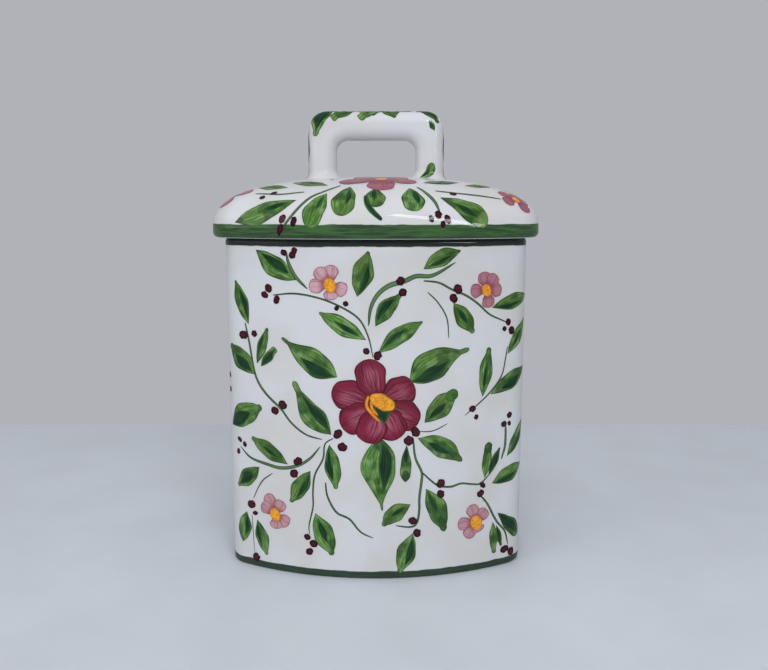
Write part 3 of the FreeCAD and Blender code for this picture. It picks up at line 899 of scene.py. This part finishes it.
def handle_face(painter):
    """Leaves that hang over the edge of the bar, and a small one and a berry beside them."""
    painter.leaf((-19, 12), (-29, -3), 8.5, ALL, stub=1.5, bend=-2)
    painter.leaf((-9, 12), (-21, 2), 7, LEFT, stub=1.8)
    painter.leaf((2, 13), (-8, 2), 7, MIDDLE, stub=2.0)
    painter.leaf((5, 13), (9, 2.5), 8.5, RIGHT, stub=1.0)
    painter.leaf((18, 11), (29.5, 1.5), 6.5, ALL, stub=1.2, bend=1.5)
    painter.leaf((25, 1.5), (28, -1.5), 2.4, ALL)
    painter.berries((15, 9.5, 1.6))


def handle_foot(painter):
    """A curved leaf that climbs the foot of a leg."""
    painter.leaf((20.5, -8), (27, -0.5), 4.2, LEFT, stub=1.2, bend=-1.8, shape=TEARDROP)


def handle_top(painter):
    """The top of the bar: a stem with two berries."""
    painter.stem([(-24, 1), (-12, -0.5), (0, 0.5), (12, -0.5), (24, 1)], 1.1)
    painter.berries((-3, 0.5, 1.3), (3, -0.5, 1.3))


def handle_side(painter):
    """The outside of a leg: a long dark stroke with a small leaf under it."""
    painter.leaf((0, 16), (0.5, 0), 7.5, ALL, stub=0.6)
    painter.leaf((0, 0), (-1, -8), 4, LEFT, stub=0.8)


def paint_sets():
    """For each solid, its own piece of each kind of paint."""
    # kind, material, and how many millimetres over the glaze it lies
    kinds = (
        ("stems", stem_material(), 0.05),
        ("leaves", leaf_material(), 0.07),
        ("shades", shade_material(), 0.12),
        ("blossoms", blossom_material(), 0.12),
        ("petals", petal_material(), 0.12),
        ("berries", berry_material(), 0.15),
        ("hearts", heart_material(), 0.18),
    )
    # solid, body, slot, and a further lift: the more a solid curves, the more
    # its paint is lifted clear of its facets
    places = (
        ("body", "jar", "body_glaze", 0.0),
        ("lid", "lid", "lid_glaze", 0.03),
        ("handle", "lid", "handle_glaze", 0.07),
    )
    sets = {}
    for place, body, slot, clear in places:
        sets[place] = {
            kind: Paint(f"{place}_{kind}", body, slot, material, lift + clear)
            for kind, material, lift in kinds
        }
    return sets


def paint_jar():
    """Lays all the strokes on the body, the lid and the handle."""
    sets = paint_sets()
    for middle in (0, 2 * QUARTER):
        front_bouquet(Painter(sets["body"], wall_canvas(middle)))
        side_spray(Painter(sets["body"], wall_canvas(QUARTER - middle)))

    def painter(place, node, azimuth, elevation, height):
        return Painter(sets[place], solid_canvas(node, azimuth, elevation, (0, 0, height)))

    for azimuth in (0, 180):
        slope = painter("lid", "lid", azimuth, SLOPE_VIEW, LID_MIDDLE)
        lid_spray(slope)
        crest_flower(slope)
        lid_end(painter("lid", "lid", azimuth + 90, SLOPE_VIEW, LID_MIDDLE))
        handle_face(painter("handle", "lid_handle", azimuth, SLOPE_VIEW, BAR_MIDDLE))
        handle_foot(painter("handle", "lid_handle", azimuth, FOOT_VIEW, LEG_MIDDLE))
        handle_side(painter("handle", "lid_handle", azimuth + 90, 0, LEG_MIDDLE))
    handle_top(painter("handle", "lid_handle", 0, 90, BAR_MIDDLE))
    for paints in sets.values():
        for paint in paints.values():
            if paint.faces:
                paint.finish()


def make_camera():
    data = bpy.data.cameras.new("camera")
    data.sensor_width = SENSOR
    data.lens = FOCAL_PX * SENSOR / FRAME_WIDTH_PX
    camera = bpy.data.objects.new("camera", data)
    camera.location = CAMERA_PLACE
    camera.rotation_euler = (math.radians(90 - CAMERA_TILT), 0, 0)
    bpy.context.scene.collection.objects.link(camera)
    bpy.context.scene.camera = camera


def make_floor():
    """A pale tabletop, with a fine grain, that ends behind the jar."""
    side, near, far = FLOOR_HALF_WIDTH, FLOOR_FRONT, FLOOR_BACK
    corners = [(-side, near, 0), (side, near, 0), (side, far, 0), (-side, far, 0)]
    mesh = bpy.data.meshes.new("floor")
    mesh.from_pydata(corners, [], [(0, 1, 2, 3)])
    floor = bpy.data.objects.new("floor", mesh)
    bpy.context.scene.collection.objects.link(floor)
    nodes = new_material("table")
    shader = nodes.add("ShaderNodeBsdfPrincipled")
    grain = nodes.ramp(nodes.noise(nodes.place(), 0.02, 3.0), 0.3, 0.7)
    nodes.feed(shader.inputs["Base Color"], nodes.blend(grain, TABLE, TABLE_SHADE))
    shader.inputs["Roughness"].default_value = FLOOR_ROUGHNESS
    nodes.feed(nodes.output.inputs[0], shader.outputs[0])
    mesh.materials.append(nodes.owner)


def make_world():
    """Even pale light, which the camera and the glaze see as the grey wall."""
    world = bpy.data.worlds.new("world")
    bpy.context.scene.world = world
    nodes = Nodes(world, "ShaderNodeOutputWorld")
    wall = nodes.add("ShaderNodeBackground")
    wall.inputs["Color"].default_value = WALL
    fill = nodes.add("ShaderNodeBackground")
    fill.inputs["Color"].default_value = SKY
    fill.inputs["Strength"].default_value = FILL_STRENGTH
    rays = nodes.add("ShaderNodeLightPath").outputs
    seen = nodes.math("MAXIMUM", rays["Is Camera Ray"], rays["Is Glossy Ray"])
    seen = nodes.math("MAXIMUM", seen, rays["Is Transmission Ray"])
    mix = nodes.add("ShaderNodeMixShader")
    for socket, source in zip(mix.inputs, (seen, fill.outputs[0], wall.outputs[0])):
        nodes.feed(socket, source)
    nodes.feed(nodes.output.inputs[0], mix.outputs[0])


def area_lamp(name, place, target, size, power, roll=0.0, mirrored=True, lights=True):
    """A soft rectangular lamp. roll turns it about its aim, and mirrored lets the glaze show it.

    A lamp with lights off is seen in the glaze and nothing else.
    """
    data = bpy.data.lights.new(name, "AREA")
    data.shape = "RECTANGLE"
    data.size, data.size_y = size
    data.energy = power
    lamp = bpy.data.objects.new(name, data)
    lamp.location = place
    aim = (Vector(target) - Vector(place)).to_track_quat("-Z", "Y")
    lamp.rotation_euler = (aim @ Quaternion((0, 0, 1), math.radians(roll))).to_euler()
    lamp.visible_glossy = mirrored
    lamp.visible_diffuse = lights
    bpy.context.scene.collection.objects.link(lamp)


def make_lamps():
    """The room's soft light, and a bright window that only the glaze shows."""
    jar, lid_front = (0, 0, 0.1), (0.02, -0.05, 0.165)
    area_lamp("overhead", (0.0, -0.2, 1.5), jar, size=(1.1, 0.8), power=5.2, mirrored=False)
    area_lamp("front_fill", (0.1, -0.95, 0.7), jar, size=(0.9, 0.4), power=7.4, mirrored=False)
    window = (0.45, -0.83, 0.55)
    area_lamp("window", window, lid_front, size=(0.85, 0.12), power=5.0, roll=-40, lights=False)
    area_lamp("left_fill", (-0.9, -0.5, 0.5), jar, size=(0.7, 0.7), power=2.2)
    area_lamp("back_fill", (0.2, 0.9, 0.7), jar, size=(0.8, 0.6), power=1.8, mirrored=False)


dress("jar_body", body_material())
dress("lid", lid_material())
dress("lid_handle", handle_material())
paint_jar()
make_floor()
make_camera()
make_world()
make_lamps()
bpy.context.scene.view_settings.view_transform = "Standard"
